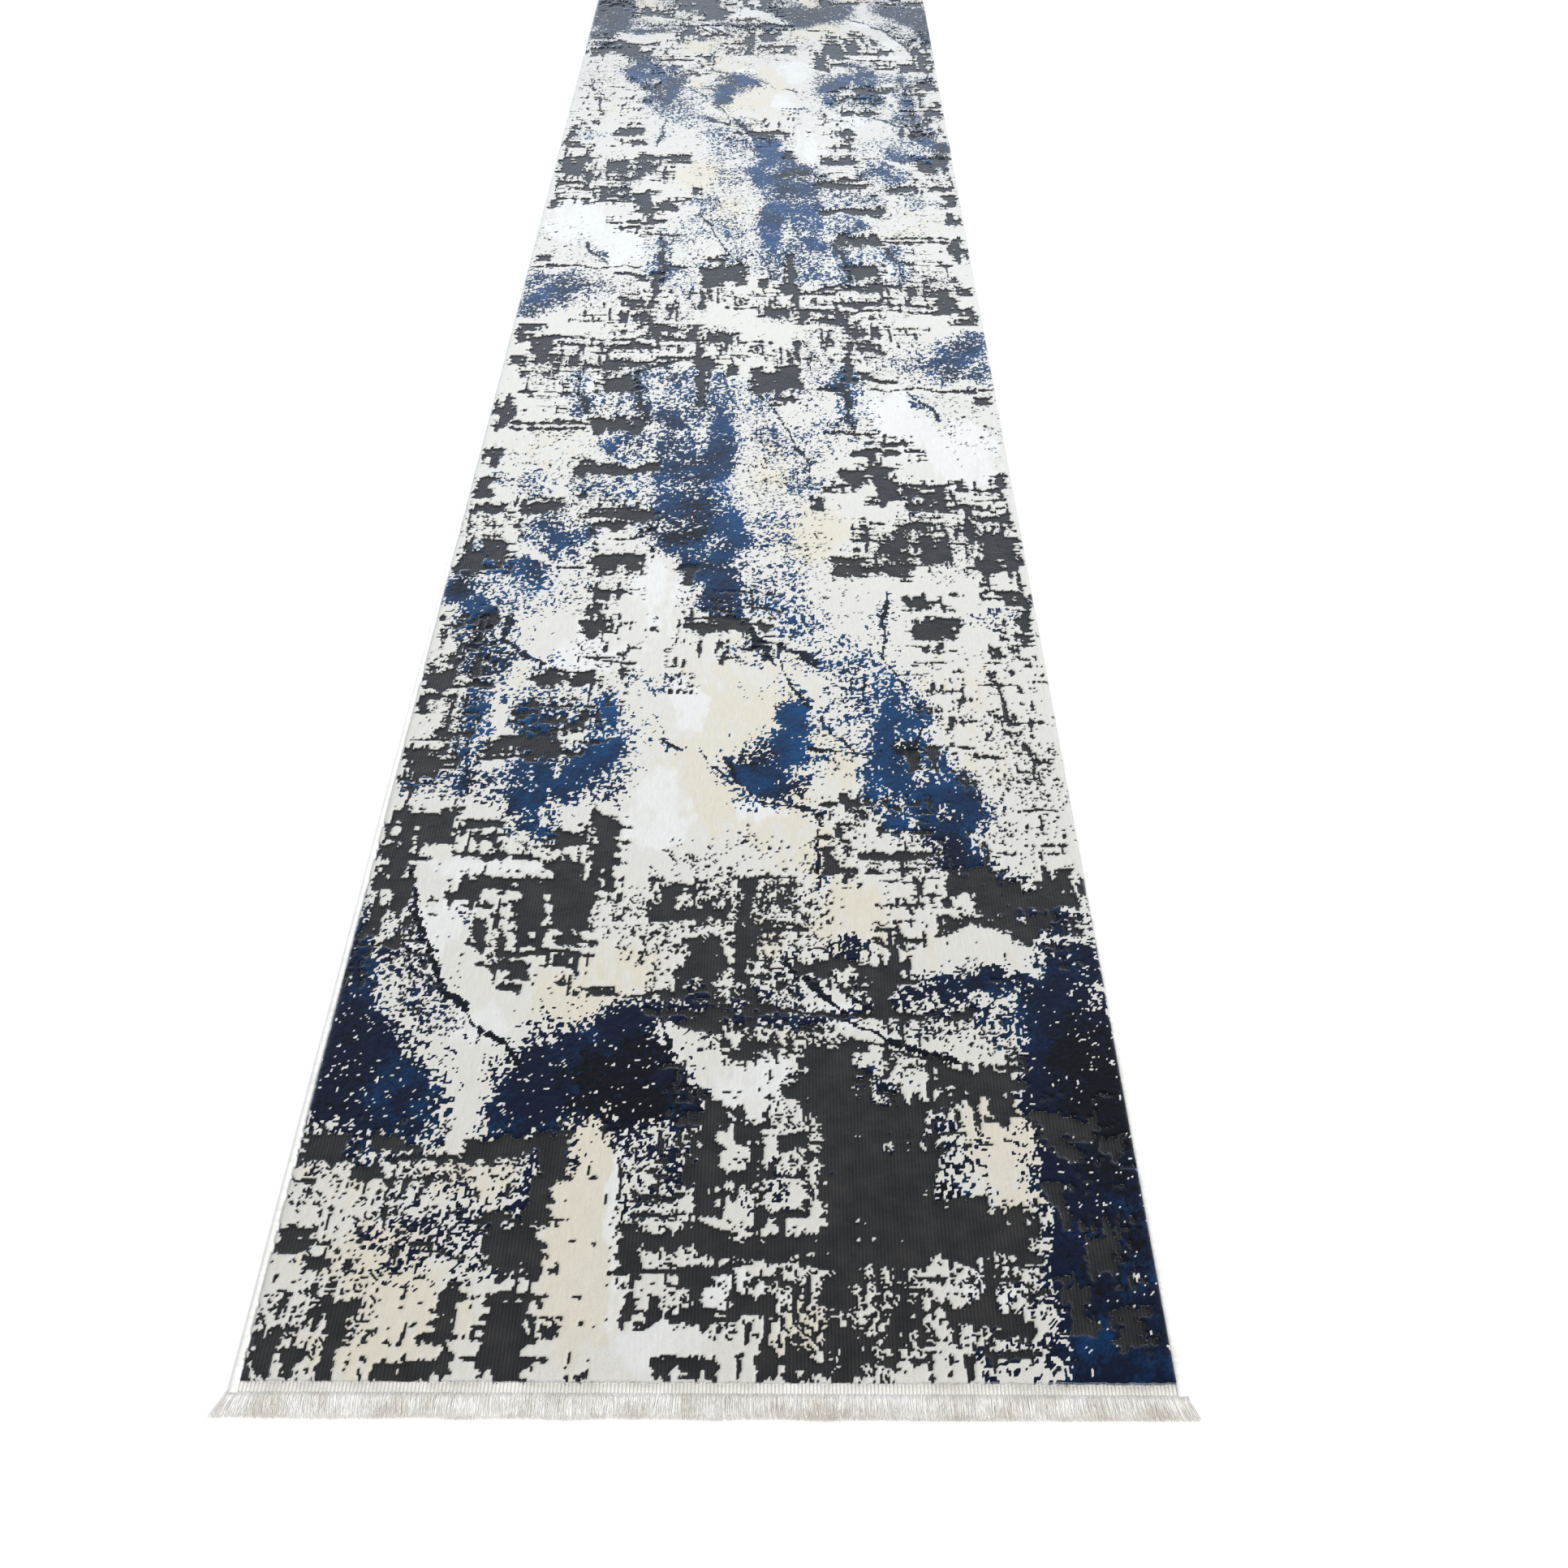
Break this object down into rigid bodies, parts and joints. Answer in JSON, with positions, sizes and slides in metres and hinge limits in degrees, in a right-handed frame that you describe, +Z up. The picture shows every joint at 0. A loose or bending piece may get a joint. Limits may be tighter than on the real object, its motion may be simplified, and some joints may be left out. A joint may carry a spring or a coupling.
{
  "type": "runner rug",
  "caption": "Long narrow rug with a carved high and low pile, serged long edges and a flat-woven band and fringe at each end; folds inwards in thirds.",
  "frame": {"origin": "centre of the underside, on the floor, midway along and across the rug", "axes": "+X across the rug, +Y along the rug, +Z up out of the pile"},
  "size_m": [0.8, 3.54, 0.0095],
  "materials": {
    "size_coat": "matte latex size",
    "ground_weave": "coarse woven backing",
    "charcoal_yarn": "low cut pile",
    "ivory_yarn": "raised cut pile, ivory, beige and navy",
    "serging_yarn": "overcast soft yarn",
    "band_yarn": "ribbed flat weave",
    "stitch_thread": "sewing thread",
    "fringe_yarn": "brushed silky yarn"
  },
  "bodies": {
    "near_third": {"near_size_coat": "size_coat", "near_ground_weave": "ground_weave", "near_charcoal_low_pile": "charcoal_yarn", "near_raised_pile": "ivory_yarn", "near_left_serging": "serging_yarn", "near_right_serging": "serging_yarn", "near_end_band": "band_yarn", "near_end_stitching": "stitch_thread", "near_fringe": "fringe_yarn"},
    "middle_third": {"middle_size_coat": "size_coat", "middle_ground_weave": "ground_weave", "middle_charcoal_low_pile": "charcoal_yarn", "middle_raised_pile": "ivory_yarn", "middle_left_serging": "serging_yarn", "middle_right_serging": "serging_yarn"},
    "far_third": {"far_size_coat": "size_coat", "far_ground_weave": "ground_weave", "far_charcoal_low_pile": "charcoal_yarn", "far_raised_pile": "ivory_yarn", "far_left_serging": "serging_yarn", "far_right_serging": "serging_yarn", "far_end_band": "band_yarn", "far_end_stitching": "stitch_thread", "far_fringe": "fringe_yarn"}
  },
  "joints": [
    {"name": "far_fold", "type": "hinge", "parent": "middle_third", "child": "far_third", "pos_m": [0, 0.59, 0.01], "axis": [1, 0, 0], "range_deg": [0, 179.9]},
    {"name": "near_fold", "type": "hinge", "parent": "middle_third", "child": "near_third", "pos_m": [0, -0.59, 0.01628], "axis": [-1, 0, 0], "range_deg": [0, 179.9]}
  ]
}
